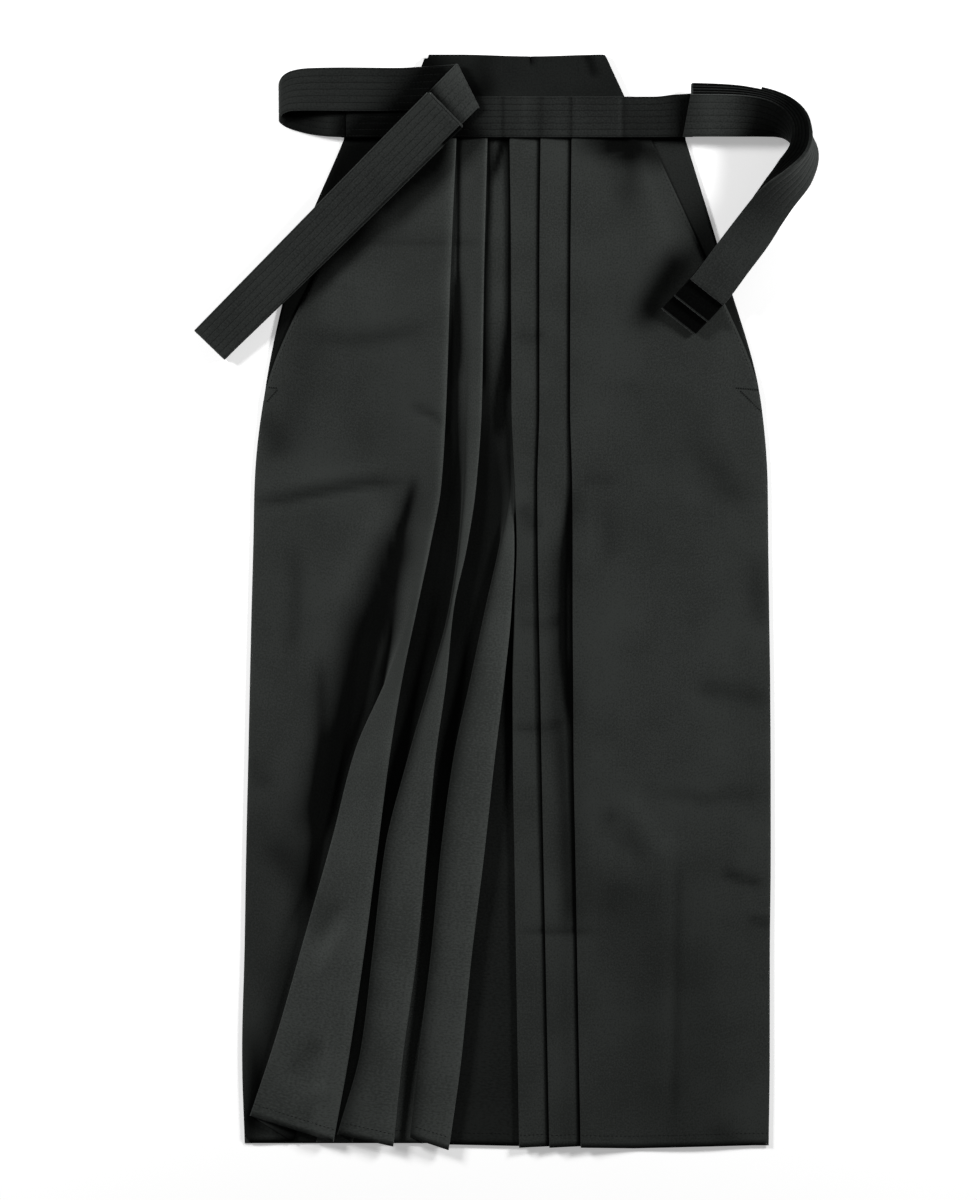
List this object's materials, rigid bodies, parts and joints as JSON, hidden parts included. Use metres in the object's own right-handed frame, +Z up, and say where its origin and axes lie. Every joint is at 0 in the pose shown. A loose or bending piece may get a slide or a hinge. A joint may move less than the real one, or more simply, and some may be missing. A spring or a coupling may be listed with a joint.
{
  "type": "hakama trousers laid flat",
  "caption": "Pleated wide-leg hakama lying flat, front up, with a stiff back board and long front ties folded up on themselves.",
  "frame": {"origin": "middle of the outline seen from above, on the surface that the garment lies on", "axes": "+Y from the hems to the waist, +X to the right as seen from above (the wearer's left leg), +Z up from the surface"},
  "size_m": [0.6086, 1.0703, 0.0497],
  "materials": {
    "body_cloth": "matte plain weave",
    "stitched_band": "matte, stitched in rows",
    "board_cover": "matte, stretched over a board"
  },
  "bodies": {
    "root": {"front_right": "body_cloth", "front_left": "body_cloth", "back_right": "body_cloth", "back_left": "body_cloth", "sasahida_right": "body_cloth", "sasahida_left": "body_cloth", "waistband": "stitched_band", "koshiita": "board_cover", "tie_front_right": "stitched_band", "tie_front_left": "stitched_band", "tie_back_right": "stitched_band", "tie_back_left": "stitched_band"}
  },
  "joints": []
}
